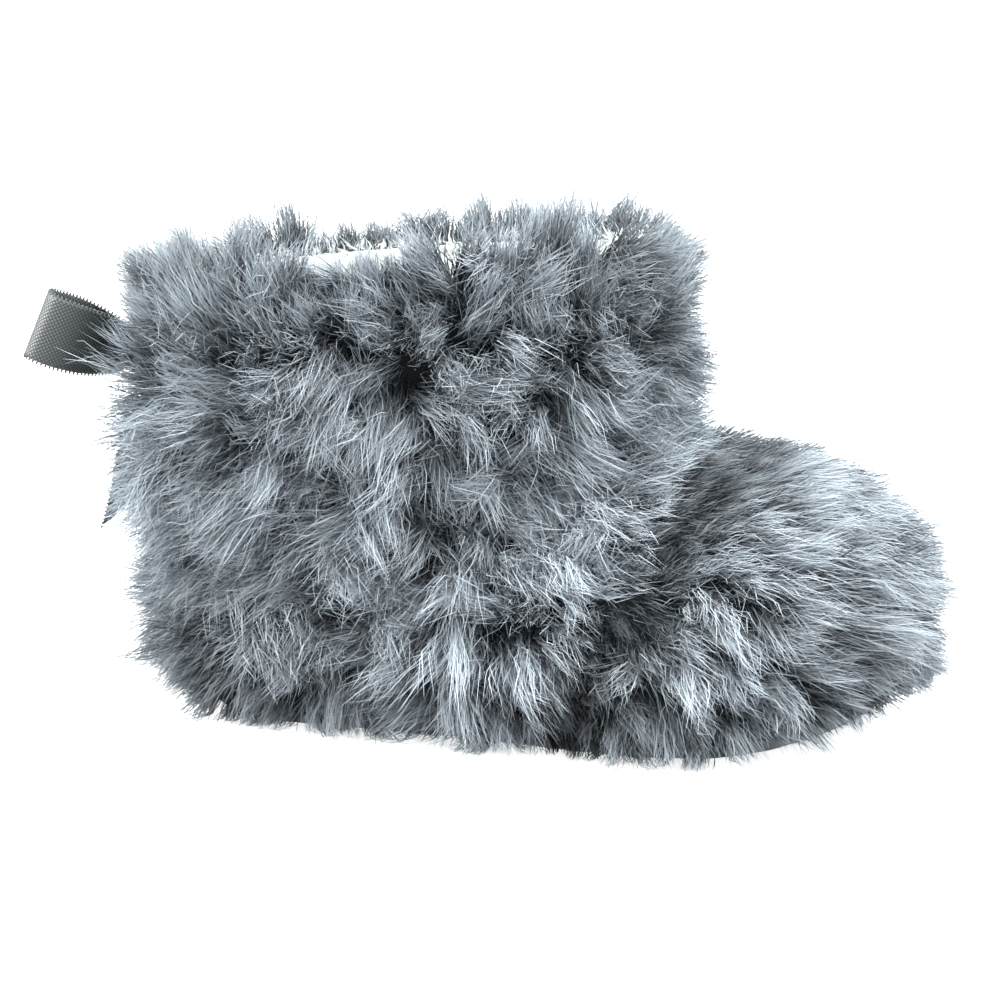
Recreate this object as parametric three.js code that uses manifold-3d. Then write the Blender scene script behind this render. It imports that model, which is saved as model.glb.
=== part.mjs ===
// A baby's bootie slipper of deep faux fur: a soft sole, an insole, one hollow upper in the shape of
// the last, fur pile on the vamp and on the shaft, and a satin ribbon bow at the back of the ankle.
// Units are millimetres. X runs from heel to toe, Y to the left and Z up. The origin is on the
// floor, under the middle of the sole. The shoe is its own mirror image, so it fits either foot.
import * as THREE from "three";
import { mergeVertices } from "three/addons/utils/BufferGeometryUtils.js";
import Module from "manifold-3d";

const wasm = await Module();
wasm.setup();

// Driving dimensions of the sole
const soleLength = 103;
const ballWidth = 45;
const heelWidth = 38;
const waistWidth = 38.5;
const soleThickness = 3;
const soleEdgeRound = 1;
const toeSpring = 5.5;
const heelSpring = 1.2;
const insoleThickness = 3.2;

// Driving dimensions of the upper
const wallThickness = 2;
const instepHeight = 40;
const sideBulge = 2;
const collarHeight = 63;
const collarRise = 6;
const shaftLength = 71;
const shaftWidth = 50;

// Driving dimensions of the fur
const pileDepth = 6;
const collarPile = 4.5;
const tuftLift = 2.4;
const tuftLean = 2.8;
const tuftPitch = 5.6;
const lockLength = 8.5;
const lockWidth = 5.5;
const lockPitch = 12.5;
const variation = 0.25;
const furFloorClearance = 1;

// Driving dimensions of the ribbon bow
const ribbonWidth = 10;
const ribbonThickness = 0.5;
const bowHeight = 50.5;
const bowRoom = 0.42;
const knotSunk = 1.7;
const loopReach = 19.8;
const loopRoot = 1.8;
const loopDepth = 7;
const knotWidth = 6;
const knotHeight = 8;
const knotDepth = 5;
const tailLength = 25;

const fitGap = 0.3;

// The plan of the sole: half its width before roundEnd rounds the heel and the toe off. at is a
// share of the sole's length, from the heel.
const plan = [
  { at: 0.0, halfWidth: heelWidth / 2 },
  { at: 0.2, halfWidth: heelWidth / 2 },
  { at: 0.4, halfWidth: waistWidth / 2 },
  { at: 0.68, halfWidth: ballWidth / 2 },
  { at: 0.86, halfWidth: 0.96 * (ballWidth / 2) },
  { at: 1.0, halfWidth: 0.86 * (ballWidth / 2) },
];
const heelRound = 0.19;
const toeRound = 0.25;
const heelFullness = 2.1;
const toeFullness = 2.25;

// The top line of the foot, before the toe is rounded off: shares of the instep's height.
const topLine = [
  { at: 0.0, up: 0.8 },
  { at: 0.3, up: 1.0 },
  { at: 0.62, up: 1.0 },
  { at: 0.74, up: 0.95 },
  { at: 0.86, up: 0.87 },
  { at: 0.95, up: 0.78 },
  { at: 1.0, up: 0.74 },
];
const toeDrop = 0.2;
const toeDropFullness = 3.2;
const toeBulge = 3.5;

// Half of a section across the foot. at is a share of the way from the sole's edge to the top. out
// and up are shares of half the width and of the height above the sole, and bulge is the share of
// sideBulge that the wall stands out by.
const archProfile = [
  { at: 0.0, out: 1.0, up: 0.0, bulge: 0.0 },
  { at: 0.12, out: 1.0, up: 0.13, bulge: 0.8 },
  { at: 0.26, out: 1.0, up: 0.3, bulge: 1.0 },
  { at: 0.42, out: 0.97, up: 0.5, bulge: 0.9 },
  { at: 0.58, out: 0.87, up: 0.7, bulge: 0.6 },
  { at: 0.74, out: 0.67, up: 0.87, bulge: 0.3 },
  { at: 0.88, out: 0.36, up: 0.97, bulge: 0.1 },
  { at: 1.0, out: 0.0, up: 1.0, bulge: 0.0 },
];

// Sections of the shaft, from the heel seat to above the collar. up is a share of the collar's
// height. back is a share of the sole's length behind the middle. length and width are shares
// of the shaft's own.
const shaftSections = [
  { up: -0.16, back: 0.47, length: 0.6, width: 0.66 },
  { up: 0.0, back: 0.478, length: 0.6, width: 0.67 },
  { up: 0.09, back: 0.497, length: 0.63, width: 0.71 },
  { up: 0.2, back: 0.506, length: 0.68, width: 0.76 },
  { up: 0.36, back: 0.5, length: 0.76, width: 0.82 },
  { up: 0.52, back: 0.5, length: 0.86, width: 0.88 },
  { up: 0.7, back: 0.525, length: 0.95, width: 0.95 },
  { up: 0.88, back: 0.54, length: 1.0, width: 1.0 },
  { up: 1.1, back: 0.54, length: 1.0, width: 1.0 },
  { up: 1.3, back: 0.535, length: 0.98, width: 0.98 },
];
const shaftFullness = 2.25;
const shaftSides = 24;
const footStations = 16;
const archSteps = 7;

// Depth of the dense pile as a share of pileDepth, by height as a share of the collar's height. It
// rounds under at the sole and over the collar's edge.
const pileProfile = [
  { up: -0.2, depth: 0.4 },
  { up: 0.0, depth: 0.55 },
  { up: 0.1, depth: 0.85 },
  { up: 0.22, depth: 1.0 },
  { up: 0.9, depth: 1.0 },
  { up: 1.0, depth: 0.92 },
  { up: 1.07, depth: 0.4 },
  { up: 1.3, depth: 0.3 },
];

// The seam where the vamp's fur meets the shaft's, seen from the side: shares of the sole's length
// ahead of its middle, and of the instep's height.
const seamLine = [
  { ahead: 0.05, up: -0.1 },
  { ahead: 0.075, up: 0.3 },
  { ahead: 0.155, up: 0.62 },
  { ahead: 0.21, up: 0.88 },
  { ahead: 0.25, up: 1.14 },
  { ahead: 0.33, up: 1.32 },
  { ahead: 0.6, up: 1.9 },
];

const soleBack = -soleLength / 2;
const beyond = 120;
const smallest = 1e-3;

// Smooth interpolation of one column of a table between its rows.
function read(table, key, column, value) {
  const last = table.length - 1;
  let i = 0;
  while (i < last - 1 && value > table[i + 1][key]) i++;
  const row = (k) => table[Math.min(Math.max(k, 0), last)];
  const slope = (k) => {
    const span = row(k + 1)[key] - row(k - 1)[key];
    return (row(k + 1)[column] - row(k - 1)[column]) / span;
  };
  const span = row(i + 1)[key] - row(i)[key];
  const t = Math.min(Math.max((value - row(i)[key]) / span, 0), 1);
  const rise = t * t * (3 - 2 * t);
  const leave = (t * t * t - 2 * t * t + t) * span * slope(i);
  const arrive = (t * t * t - t * t) * span * slope(i + 1);
  return row(i)[column] * (1 - rise) + row(i + 1)[column] * rise + leave + arrive;
}

// How far heel and toe are rounded off at a share of the length: 1 along the middle, 0 at each end.
function roundEnd(at) {
  const near = Math.max((heelRound - at) / heelRound, 0);
  const far = Math.max((at - 1 + toeRound) / toeRound, 0);
  const heel = (1 - Math.min(near, 1) ** heelFullness) ** (1 / heelFullness);
  const toe = (1 - Math.min(far, 1) ** toeFullness) ** (1 / toeFullness);
  return heel * toe;
}

// How far the top line has dropped to the toe's blunt nose: 1 along the foot, 0 at the very end.
function toeTop(at) {
  const far = Math.min(Math.max((at - 1 + toeDrop) / toeDrop, 0), 1);
  const heel = roundEnd(Math.min(at, heelRound));
  return heel * (1 - far ** toeDropFullness) ** (1 / toeDropFullness);
}

// Height of the sole's underside: flat from heel to ball, with a little spring at each end.
function soleUnderside(at) {
  const ballEnd = 0.7;
  const heelEnd = 0.12;
  const toe = Math.max((at - ballEnd) / (1 - ballEnd), 0);
  const heel = Math.max((heelEnd - at) / heelEnd, 0);
  return toeSpring * toe * toe + heelSpring * heel * heel;
}

const halfWidthAt = (at) => read(plan, "at", "halfWidth", at) * roundEnd(at);
const shareAt = (x) => Math.min(Math.max((x - soleBack) / soleLength, 0), 1);
const soleTopAt = (x) => soleUnderside(shareAt(x)) + soleThickness;

// Height of the collar's edge: it climbs from the back of the shaft to its front.
const collarAt = (x) => {
  const along = Math.min(Math.max((x - soleBack) / shaftLength, 0), 1);
  return collarHeight + collarRise * along;
};

// Stations along the foot, closer together towards heel and toe.
function stations(count) {
  const ends = 0.0006;
  return Array.from({ length: count + 1 }, (_, i) => {
    const at = (1 - Math.cos((Math.PI * i) / count)) / 2;
    return Math.min(Math.max(at, ends), 1 - ends);
  });
}

// Rings of points across the foot on the upper's outer face. Each ring runs from the right side,
// over the top, to the left side, and starts and ends well below the sole.
function footRings(count, steps) {
  return stations(count).map((at) => {
    const x = soleBack + soleLength * at;
    const base = soleTopAt(x) + fitGap;
    const width = halfWidthAt(at);
    const height = (read(topLine, "at", "up", at) * instepHeight - base) * toeTop(at);
    const nose = toeBulge * Math.max((at - 1 + toeRound) / toeRound, 0) ** 2;
    const side = Array.from({ length: steps + 1 }, (_, k) => {
      const arch = (column) => read(archProfile, "at", column, k / steps);
      const y = width * arch("out") + sideBulge * arch("bulge") * roundEnd(at);
      return new THREE.Vector3(x + nose * arch("bulge"), -y, base + height * arch("up"));
    });
    const below = side[0].clone().setZ(base - 2 * soleThickness - toeSpring);
    const right = [below, ...side];
    const left = right.slice(0, -1).map((p) => new THREE.Vector3(p.x, -p.y, p.z));
    return [...right, ...left.reverse()];
  });
}

// Rings of points round the shaft on the upper's outer face, at the heights in levels.
function shaftRings(levels, sides) {
  return levels.map((up) => {
    const section = (column) => read(shaftSections, "up", column, up);
    const halfLength = (section("length") * shaftLength) / 2;
    const halfWidth = (section("width") * shaftWidth) / 2;
    const centre = halfLength - section("back") * soleLength;
    return Array.from({ length: sides }, (_, j) => {
      const turn = (2 * Math.PI * j) / sides;
      const c = Math.cos(turn);
      const s = Math.sin(turn);
      const x = Math.sign(c) * Math.abs(c) ** (2 / shaftFullness);
      const y = Math.sign(s) * Math.abs(s) ** (2 / shaftFullness);
      const z = up * collarHeight;
      return new THREE.Vector3(centre + halfLength * x, halfWidth * y, z);
    });
  });
}

// The outward direction at each point of a grid of rings. Open rings have two ends.
function outwardOf(rings, open) {
  const lastRing = rings.length - 1;
  return rings.map((ring, i) =>
    ring.map((_, j) => {
      const count = ring.length;
      const ahead = open ? Math.min(j + 1, count - 1) : (j + 1) % count;
      const behind = open ? Math.max(j - 1, 0) : (j + count - 1) % count;
      const across = ring[ahead].clone().sub(ring[behind]);
      const along = rings[Math.min(i + 1, lastRing)][j]
        .clone()
        .sub(rings[Math.max(i - 1, 0)][j]);
      return (open ? along.cross(across) : across.cross(along)).normalize();
    }),
  );
}

// The grid moved outwards by a depth that may depend on the point.
function swell(rings, open, depthAt) {
  const outward = outwardOf(rings, open);
  return rings.map((ring, i) =>
    ring.map((p, j) => p.clone().addScaledVector(outward[i][j], depthAt(p))),
  );
}

// A closed surface through rings of equal length, with a flat cap at each end.
function loft(rings) {
  const count = rings[0].length;
  const points = rings.flat();
  const middle = (ring) => {
    const sum = new THREE.Vector3();
    ring.forEach((p) => sum.add(p));
    return sum.divideScalar(count);
  };
  points.push(middle(rings[0]), middle(rings[rings.length - 1]));
  const first = points.length - 2;
  const last = points.length - 1;
  const top = (rings.length - 1) * count;
  const faces = [];
  for (let j = 0; j < count; j++) {
    const k = (j + 1) % count;
    for (let i = 0; i < rings.length - 1; i++) {
      const a = i * count;
      const b = a + count;
      if ((i + j) % 2) faces.push([a + j, a + k, b + k], [a + j, b + k, b + j]);
      else faces.push([a + j, a + k, b + j], [a + k, b + k, b + j]);
    }
    faces.push([first, k, j], [last, top + j, top + k]);
  }
  return solid(points, faces);
}

// A solid from points and triangles, turned so that its faces point outwards.
function solid(points, faces) {
  const make = (turned) =>
    new wasm.Manifold(
      new wasm.Mesh({
        numProp: 3,
        vertProperties: new Float32Array(points.flatMap((p) => [p.x, p.y, p.z])),
        triVerts: new Uint32Array(faces.flatMap(([a, b, c]) => (turned ? [a, c, b] : [a, b, c]))),
      }),
    );
  const made = make(false);
  return made.volume() > 0 ? made : make(true);
}

// A solid from a three.js geometry.
function solidOf(geometry) {
  const bare = geometry.clone();
  bare.deleteAttribute("normal");
  bare.deleteAttribute("uv");
  const merged = mergeVertices(bare, smallest);
  return new wasm.Manifold(
    new wasm.Mesh({
      numProp: 3,
      vertProperties: merged.getAttribute("position").array,
      triVerts: new Uint32Array(merged.index.array),
    }),
  );
}

// A block right across the shoe, with its outline given as seen from the side.
function sideBlock(outline) {
  const shape = new THREE.Shape(outline.map(([x, z]) => new THREE.Vector2(x, z)));
  const made = new THREE.ExtrudeGeometry(shape, { depth: beyond, bevelEnabled: false });
  made.rotateX(Math.PI / 2);
  made.translate(0, beyond / 2, 0);
  return solidOf(made);
}

function joined(solids) {
  return wasm.Manifold.union(solids);
}

const foot = footRings(footStations, archSteps);
const shaft = shaftRings(shaftSections.map(({ up }) => up), shaftSides);

// The boot's whole form, with its surface moved outwards by depthAt.
function bootForm(depthAt) {
  return joined([loft(swell(foot, true, depthAt)), loft(swell(shaft, false, depthAt))]);
}

// A line right along the shoe as seen from the side, at the height that heightAt gives.
function sideLine(heightAt) {
  const steps = 24;
  const along = Array.from({ length: steps + 1 }, (_, i) => soleBack + (soleLength * i) / steps);
  return [-beyond, ...along, beyond].map((x) => [x, heightAt(x)]);
}

// The hollow upper: a wall of even thickness from the top of the sole to the collar.
function upperSolid() {
  const seat = sideLine((x) => soleTopAt(x) + fitGap);
  const between = sideBlock([...seat, ...sideLine(collarAt).reverse()]);
  const outer = bootForm(() => 0);
  const inner = bootForm(() => -wallThickness);
  return outer.intersect(between).subtract(inner);
}

// A flat soft sheet with the sole's plan, drawn in by inset, between two heights above the underside.
function soleSheet(inset, low, high) {
  const edge = soleEdgeRound;
  const blunt = edge / 4;
  const rings = stations(footStations).map((at) => {
    const drawn = (soleLength - 2 * inset) / soleLength;
    const x = (soleBack + soleLength * at) * drawn;
    const width = Math.max(halfWidthAt(at) - inset * roundEnd(at), blunt);
    const under = soleUnderside(shareAt(x));
    const narrow = Math.max(width - edge, blunt / 2);
    const section = [
      [-narrow, low],
      [narrow, low],
      [width, low + edge],
      [width, high - edge],
      [narrow, high],
      [-narrow, high],
      [-width, high - edge],
      [-width, low + edge],
    ];
    return section.map(([y, z]) => new THREE.Vector3(x, y, under + z));
  });
  return loft(rings);
}

function outsoleSolid() {
  return soleSheet(0, 0, soleThickness);
}

function insoleSolid() {
  const low = soleThickness + fitGap;
  return soleSheet(wallThickness + 2 * fitGap, low, low + insoleThickness);
}

// A fixed scatter between -1 and 1, so that the locks don't line up.
function scatter(k) {
  const wave = Math.sin(k * 12.9898 + 4.1414) * 43758.5453;
  return 2 * (wave - Math.floor(wave)) - 1;
}

const pileAt = (p) => fitGap + pileDepth * read(pileProfile, "up", "depth", p.z / collarAt(p.x));

const vampFlow = new THREE.Vector3(0.8, 0, -0.5);
const shaftFlow = new THREE.Vector3(0, 0, -0.6);
const flowSway = new THREE.Vector3(0.4, 0, 0.3);
const collarBand = 0.2;
const collarLift = 1.4;

// The way the fur lies at a point: forward and down on the vamp, down on the shaft, and up at the
// collar. sway scatters it a little.
function flowAt(p, outward, onVamp, sway) {
  const flow = onVamp ? vampFlow.clone() : shaftFlow.clone();
  const rim = Math.max((p.z / collarAt(p.x) - 1) / collarBand + 1, 0);
  if (!onVamp) flow.z += collarLift * Math.min(1.6 * rim, 1);
  flow.x += flowSway.x * scatter(sway);
  flow.z += flowSway.z * scatter(sway + 0.5);
  return flow.addScaledVector(outward, -flow.dot(outward)).normalize();
}

// The pile's surface: every second point of the grid is drawn out to the tip of a small tuft.
function tufted(rings, open, onVamp) {
  const skin = swell(rings, open, pileAt);
  const outward = outwardOf(skin, open);
  return skin.map((ring, i) =>
    ring.map((p, j) => {
      if ((i + j) % 2) return p.clone();
      const mirrored = Math.min(j, ring.length - (open ? 1 : 0) - j);
      const seed = i * 37 + mirrored;
      const way = outward[i][j];
      const lift = tuftLift * (1 + variation * scatter(seed));
      const lean = tuftLean * (1 + variation * scatter(seed + 0.3));
      const flow = flowAt(p, way, onVamp, seed + 0.7);
      return p.clone().addScaledVector(way, lift).addScaledVector(flow, lean);
    }),
  );
}

// The dense pile with its tufts, over the whole boot.
function pileForm() {
  const lowest = -0.14;
  const highest = 1.24;
  const levelCount = Math.round(((highest - lowest) * collarHeight) / tuftPitch);
  const step = (highest - lowest) / levelCount;
  const levels = Array.from({ length: levelCount + 1 }, (_, i) => lowest + step * i);
  const around = Math.PI * (shaftLength / 2 + shaftWidth / 2 + 2 * pileDepth);
  const sides = 2 * Math.round(around / tuftPitch / 2);
  const count = Math.round((soleLength + 2 * pileDepth) / tuftPitch);
  const steps = Math.round((instepHeight + ballWidth / 2 + pileDepth) / tuftPitch);
  return joined([
    loft(tufted(footRings(count, steps), true, true)),
    loft(tufted(shaftRings(levels, sides), false, false)),
  ]);
}

// A long lock from its root in the pile to its tip: shares of the lock's length, out of the pile and
// along the way that the fur lies. thick is a share of lockWidth.
const lockPath = [
  { out: -0.2, along: -0.06, thick: 0.9 },
  { out: 0.27, along: 0.21, thick: 0.85 },
  { out: 0.55, along: 0.8, thick: 0.0 },
];
const lockFlatness = 0.55;

// One long pointed lock of fur: a bent four-sided spike with its root sunk in the pile.
function furLock(root, outward, flow, size) {
  const length = lockLength * size;
  const side = outward.clone().cross(flow).normalize();
  const stops = lockPath.map(({ out, along }) => {
    const place = root.clone().addScaledVector(outward, length * out);
    return place.addScaledVector(flow, length * along);
  });
  const points = [];
  lockPath.slice(0, -1).forEach(({ thick }, i) => {
    const half = (lockWidth * size * thick) / 2;
    const forward = stops[i + 1].clone().sub(stops[i]).normalize();
    const wide = side.clone().multiplyScalar(half);
    const flat = forward.cross(side).normalize().multiplyScalar(half * lockFlatness);
    points.push(stops[i].clone().add(wide), stops[i].clone().add(flat));
    points.push(stops[i].clone().sub(wide), stops[i].clone().sub(flat));
  });
  points.push(stops[stops.length - 1]);
  const sides = 4;
  const tip = points.length - 1;
  const faces = [[0, 2, 1], [0, 3, 2]];
  for (let k = 0; k < sides; k++) {
    const n = (k + 1) % sides;
    faces.push([k, n, sides + n], [k, sides + n, sides + k], [sides + k, sides + n, tip]);
  }
  return solid(points, faces);
}

function seamAt(z) {
  const rows = seamLine.map(({ ahead, up }) => ({ x: ahead * soleLength, z: up * instepHeight }));
  return read(rows, "z", "x", z);
}

// A point on a grid of rings and its outward direction, at a fractional ring and place in the ring.
function placeOn(rings, outward, i, j) {
  const row = Math.min(Math.floor(i), rings.length - 2);
  const count = rings[0].length;
  const column = Math.floor(j);
  const [a, b] = [i - row, j - column];
  const mix = (grid) => {
    const [c, d] = [column % count, (column + 1) % count];
    const low = grid[row][c].clone().lerp(grid[row][d], b);
    return low.lerp(grid[row + 1][c].clone().lerp(grid[row + 1][d], b), a);
  };
  return { point: mix(rings), outward: mix(outward).normalize() };
}

// Rows of long locks round the shaft: at the hem, over the heel, at the ankle and at the collar.
const shaftLockRows = [{ up: 0.1 }, { up: 0.42 }, { up: 0.72 }, { up: 0.97 }];

function shaftLocks() {
  const levels = shaftLockRows.map(({ up }) => up);
  const skin = swell(shaftRings(levels, shaftSides), false, pileAt);
  const outward = outwardOf(skin, false);
  const half = (Math.PI * (shaftLength + shaftWidth + 4 * pileDepth)) / 4;
  const count = Math.round(half / lockPitch);
  return levels.flatMap((_, row) =>
    Array.from({ length: count }, (_, k) => {
      const seed = row * 31 + k;
      const turn = (k + 0.5 + variation * scatter(seed)) / count;
      const place = placeOn(skin, outward, row, (turn * shaftSides) / 2);
      const flow = flowAt(place.point, place.outward, false, seed + 0.4);
      return { ...place, flow, size: 1 + variation * scatter(seed + 0.2) };
    }),
  );
}

// Rows of long locks across the vamp, closer together towards the toe. at is a share of the sole's
// length.
const vampLockRows = [{ at: 0.64 }, { at: 0.79 }, { at: 0.91 }, { at: 0.97 }];

function vampLocks() {
  const skin = swell(foot, true, pileAt);
  const outward = outwardOf(skin, true);
  const half = archSteps + 1;
  const girth = (Math.PI * (instepHeight + pileDepth)) / 2;
  return vampLockRows.flatMap(({ at }, row) => {
    const ring = (Math.acos(1 - 2 * at) / Math.PI) * footStations;
    const count = Math.max(Math.round((girth * roundEnd(at)) / lockPitch), 2);
    return Array.from({ length: count }, (_, k) => {
      const seed = row * 41 + k + 0.6;
      const up = (k + 0.5 + variation * scatter(seed)) / count;
      const place = placeOn(skin, outward, ring, 1 + up * (half - 1));
      const flow = flowAt(place.point, place.outward, true, seed);
      return { ...place, flow, size: 1 + variation * scatter(seed + 0.2) };
    });
  });
}

// Builds the locks of one side and their mirror images.
function lockSolids(places) {
  const flip = (v) => new THREE.Vector3(v.x, -v.y, v.z);
  return places.flatMap(({ point, outward, flow, size }) => [
    furLock(point, outward, flow, size),
    furLock(flip(point), flip(outward), flip(flow), size),
  ]);
}

// The side outline ahead of the seam, or behind it, moved half a gap away from it.
function seamSide(way) {
  const seam = seamLine.map(({ ahead, up }) => [
    ahead * soleLength + (way * fitGap) / 2,
    up * instepHeight,
  ]);
  return sideBlock([[way * beyond, seam[0][1]], ...seam, [way * beyond, seam[seam.length - 1][1]]]);
}

function furSolids() {
  const floor = furFloorClearance;
  const rim = sideLine((x) => collarAt(x) + collarPile);
  const band = sideBlock([[-beyond, floor], [beyond, floor], ...rim.reverse()]);
  const aboveFloor = sideBlock([
    [-beyond, floor],
    [beyond, floor],
    [beyond, beyond],
    [-beyond, beyond],
  ]);
  const pile = pileForm().intersect(band);
  const inside = bootForm(() => fitGap);
  const vampPlaces = vampLocks().filter(({ point }) => point.x > seamAt(point.z));
  const shaftPlaces = shaftLocks().filter(({ point }) => point.x < seamAt(point.z));
  const clear = (made, way) =>
    biggest(made.subtract(inside).intersect(aboveFloor).intersect(seamSide(way)));
  const bow = joined(bowClearance());
  return {
    vamp: clear(joined([pile, ...lockSolids(vampPlaces)]), 1),
    shaft: biggest(clear(joined([pile, ...lockSolids(shaftPlaces)]), -1).subtract(bow)),
  };
}

// The largest body of a solid, which drops the slivers that a cut leaves.
function biggest(made) {
  const bodies = made.decompose();
  return bodies.reduce((best, body) => (body.volume() > best.volume() ? body : best));
}

// The middle of the knot, sunk in the pile at the back of the shaft.
const shaftBack = read(shaftSections, "up", "back", bowHeight / collarHeight) * soleLength;
const bowSeat = new THREE.Vector3(-shaftBack - fitGap - pileDepth + knotSunk, 0, bowHeight);

// A ribbon of even thickness along a path. Each stop has its place, the way across the ribbon and
// the ribbon's width there.
function ribbon(stops, thickness) {
  const rings = stops.map(({ place, across, width }, i) => {
    const before = stops[Math.max(i - 1, 0)].place;
    const after = stops[Math.min(i + 1, stops.length - 1)].place;
    const along = after.clone().sub(before).normalize();
    const way = across.clone().normalize();
    const face = along.cross(way).normalize().multiplyScalar(thickness / 2);
    const half = way.multiplyScalar(width / 2);
    return [
      place.clone().add(half).add(face),
      place.clone().add(half).sub(face),
      place.clone().sub(half).sub(face),
      place.clone().sub(half).add(face),
    ];
  });
  return loft(rings);
}

// One loop of the bow, out from the knot and back, as shares of its reach and depth. width is a
// share of the ribbon's width: the knot gathers it.
const loopPath = [
  { out: 0.14, off: 0.2, width: 0.52 },
  { out: 0.34, off: 0.44, width: 0.76 },
  { out: 0.6, off: 0.52, width: 0.94 },
  { out: 0.85, off: 0.42, width: 1.0 },
  { out: 0.97, off: 0.22, width: 1.0 },
  { out: 1.0, off: 0.0, width: 1.0 },
  { out: 0.97, off: -0.22, width: 1.0 },
  { out: 0.85, off: -0.4, width: 1.0 },
  { out: 0.6, off: -0.46, width: 0.94 },
  { out: 0.34, off: -0.36, width: 0.76 },
  { out: 0.14, off: -0.2, width: 0.52 },
];

// The way out along each loop. The right one stands up and back, and the left one lies closer to the
// shaft. Both are given for the right side, and the left one is mirrored.
const loopOut = { right: new THREE.Vector3(-0.52, -0.78, 0.3), left: new THREE.Vector3(-0.4, -0.9, 0.06) };
const loopAcross = new THREE.Vector3(-0.3, 0.0, -0.93);

function loopSolid(way, extra) {
  const ahead = (way > 0 ? loopOut.right : loopOut.left).clone().normalize();
  const beside = loopAcross.clone().addScaledVector(ahead, -loopAcross.dot(ahead)).normalize();
  const apart = ahead.clone().cross(beside).normalize();
  const stops = loopPath.map(({ out, off, width }) => {
    const place = ahead.clone().multiplyScalar(out * loopReach + loopRoot);
    place.addScaledVector(apart, off * loopDepth).add(bowSeat);
    return { place, across: beside.clone(), width: width * ribbonWidth + 2 * extra };
  });
  stops.forEach(({ place, across }) => {
    place.y *= way;
    across.y *= way;
  });
  return ribbon(stops, ribbonThickness + 2 * extra);
}

// A tail hangs from under the knot and stands away from the shaft at its tip.
const tailPath = [
  { down: 0.18, back: 0.02, side: 0.09, turn: 0.1, width: 0.4 },
  { down: 0.36, back: 0.04, side: 0.155, turn: 0.16, width: 0.66 },
  { down: 0.57, back: 0.07, side: 0.215, turn: 0.22, width: 0.98 },
  { down: 0.79, back: 0.1, side: 0.22, turn: 0.3, width: 1.0 },
  { down: 1.0, back: 0.15, side: 0.22, turn: 0.4, width: 1.0 },
];

function tailSolid(way, extra) {
  const stops = tailPath.map(({ down, back, side, turn, width }) => ({
    place: new THREE.Vector3(-back, -way * side, -down).multiplyScalar(tailLength).add(bowSeat),
    across: new THREE.Vector3(-Math.sin(turn), -way * Math.cos(turn), 0),
    width: width * ribbonWidth + 2 * extra,
  }));
  const whole = ribbon(stops, ribbonThickness + 2 * extra);
  const end = stops[stops.length - 1];
  const slant = end.across.clone().add(new THREE.Vector3(0, 0, -1)).normalize();
  return whole.trimByPlane(slant.clone().negate().toArray(), -slant.dot(end.place) - extra);
}

function knotSolid(extra) {
  const sides = 12;
  const layers = 7;
  const flatEnd = 0.35;
  const fullness = 0.6;
  const rings = Array.from({ length: layers + 1 }, (_, i) => {
    const climb = (Math.PI * (i + flatEnd)) / (layers + 2 * flatEnd) - Math.PI / 2;
    const round = Math.cos(climb) ** fullness;
    return Array.from({ length: sides }, (_, j) => {
      const turn = (2 * Math.PI * j) / sides;
      const x = (knotDepth / 2 + extra) * round * Math.cos(turn);
      const y = (knotWidth / 2 + extra) * round * Math.sin(turn);
      const z = (knotHeight / 2 + extra) * Math.sin(climb);
      return new THREE.Vector3(x, y, z).add(bowSeat);
    });
  });
  return loft(rings);
}

// The room that the pile leaves round the bow.
function bowClearance() {
  const pairs = [1, -1].flatMap((way) => [loopSolid(way, bowRoom), tailSolid(way, bowRoom)]);
  return [knotSolid(bowRoom), ...pairs];
}

// The bow's own pieces, each cut clear of the knot that gathers it.
function bowSolids() {
  const knotRoom = knotSolid(fitGap);
  return {
    knot: knotSolid(0),
    loop: (way) => biggest(loopSolid(way, 0).subtract(knotRoom)),
    tail: (way) => biggest(tailSolid(way, 0).subtract(knotRoom)),
  };
}

// A named mesh from a solid, with flat faces.
function part(name, made, material) {
  const { vertProperties, triVerts, numProp } = made.getMesh();
  const positions = new Float32Array(triVerts.length * 3);
  triVerts.forEach((v, k) => positions.set(vertProperties.subarray(v * numProp, v * numProp + 3), 3 * k));
  const geometry = new THREE.BufferGeometry();
  geometry.setAttribute("position", new THREE.BufferAttribute(positions, 3));
  geometry.computeVertexNormals();
  const mesh = new THREE.Mesh(geometry, material);
  mesh.name = name;
  return mesh;
}

const matte = (color) => new THREE.MeshStandardMaterial({ color, roughness: 0.95, metalness: 0 });
const fur = matte(0x858e95);
const fleece = matte(0xe8ecec);
const suede = matte(0x80868b);
const satin = new THREE.MeshStandardMaterial({ color: 0x8b9090, roughness: 0.4, metalness: 0 });

const bootie = new THREE.Group();
const { vamp: vampFur, shaft: shaftFur } = furSolids();
const bow = bowSolids();
bootie.add(
  part("outsole", outsoleSolid(), suede),
  part("insole", insoleSolid(), fleece),
  part("upper", upperSolid(), fleece),
  part("fur_vamp", vampFur, fur),
  part("fur_shaft", shaftFur, fur),
  part("bow_knot", bow.knot, satin),
  part("bow_loop_right", bow.loop(1), satin),
  part("bow_loop_left", bow.loop(-1), satin),
  part("bow_tail_right", bow.tail(1), satin),
  part("bow_tail_left", bow.tail(-1), satin),
);

export default bootie;
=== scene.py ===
"""Dresses a baby's bootie slipper: long faux fur, a fleece lining, a suede sole and a satin bow."""

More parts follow.
